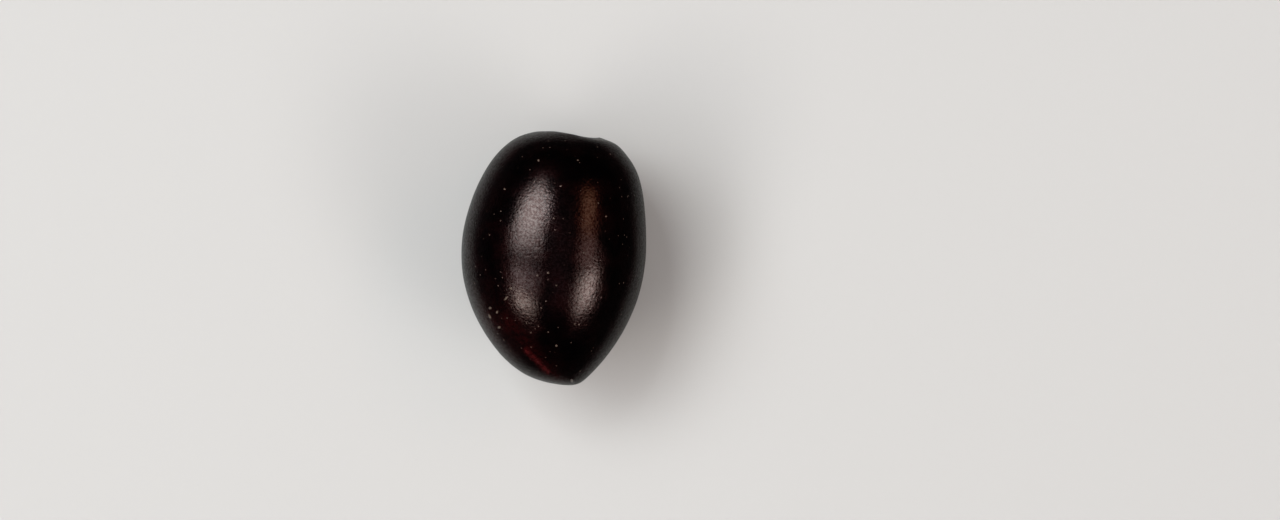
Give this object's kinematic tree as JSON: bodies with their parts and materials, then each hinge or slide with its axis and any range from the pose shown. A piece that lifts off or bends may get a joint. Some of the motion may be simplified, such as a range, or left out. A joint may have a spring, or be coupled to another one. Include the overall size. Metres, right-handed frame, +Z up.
{
  "type": "mission olive",
  "caption": "Ripe dark olive, egg-shaped, with a dished stem scar at the wide end and a small blunt point at the other, lying on its side.",
  "frame": {"origin": "middle of the box around the fruit, on the surface it lies on", "axes": "+Y along the fruit towards its stem end, +Z up from the resting surface, +X across it"},
  "size_m": [0.0178, 0.0246, 0.0172],
  "materials": {
    "skin": "waxy ripe fruit skin, purple-black, finely pebbled, with small pale dots",
    "scar": "dry, fibrous plant tissue, orange-brown and pale tan, torn from the stalk, in the stem cavity"
  },
  "bodies": {
    "root": {"olive": "skin"}
  },
  "joints": []
}
